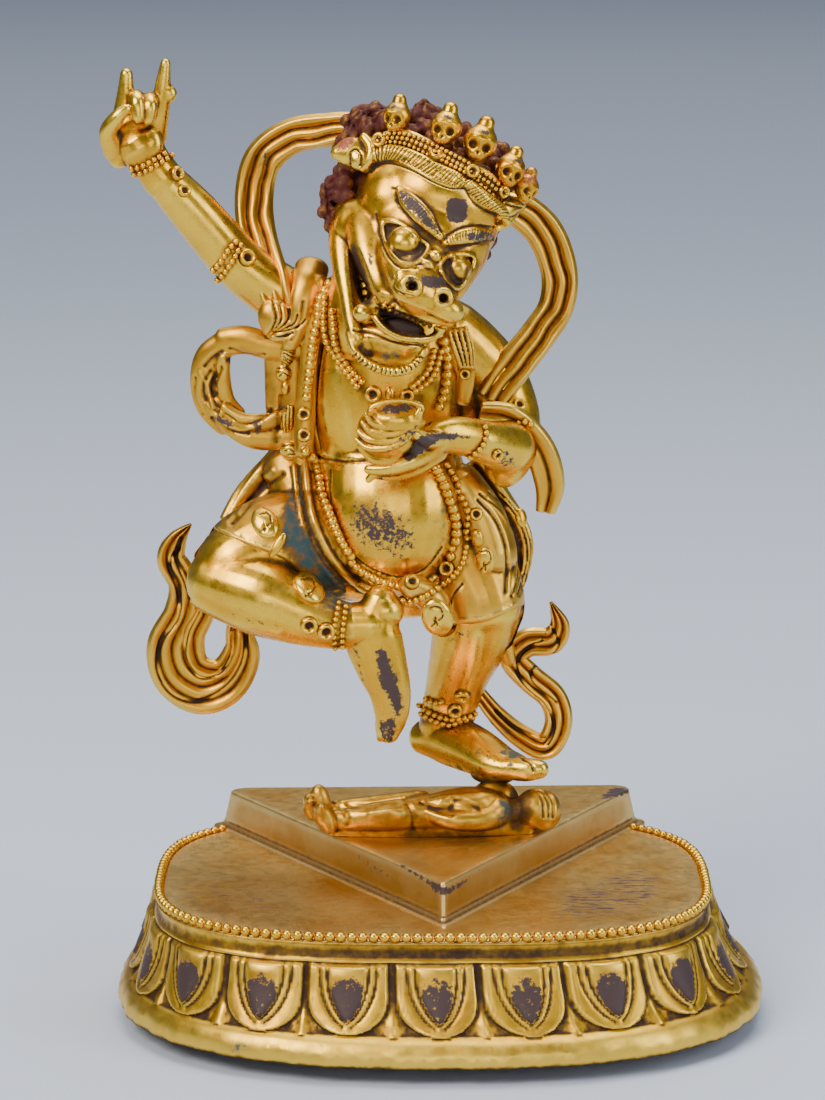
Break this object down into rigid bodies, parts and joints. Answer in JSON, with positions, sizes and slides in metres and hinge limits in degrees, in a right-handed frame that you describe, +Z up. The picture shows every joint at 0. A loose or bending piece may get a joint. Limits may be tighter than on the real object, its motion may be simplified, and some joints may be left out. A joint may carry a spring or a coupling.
{
  "type": "dancing animal-headed demon figure on a lotus base",
  "caption": "Gilt bronze animal-headed figure dancing on one leg over a trampled body, with skull cup and looping scarf, on a triangular plinth and lotus base.",
  "frame": {"origin": "centre of the flat underside of the base", "axes": "+Z up, -Y towards the viewer in front of the figure, +X to the viewer's right"},
  "size_m": [0.1164, 0.095, 0.1634],
  "materials": {
    "burnished_gilt": "fire-gilt copper alloy, burnished, with dark recesses and worn patches",
    "worn_gilt": "fire-gilt copper alloy, worn and dirty in the hollows",
    "brushed_gilt": "fire-gilt copper alloy, brushed on the flats, burnished on the petals"
  },
  "bodies": {
    "root": {"dancing_figure": "burnished_gilt", "trampled_body": "worn_gilt", "lotus_base": "brushed_gilt"}
  },
  "joints": []
}
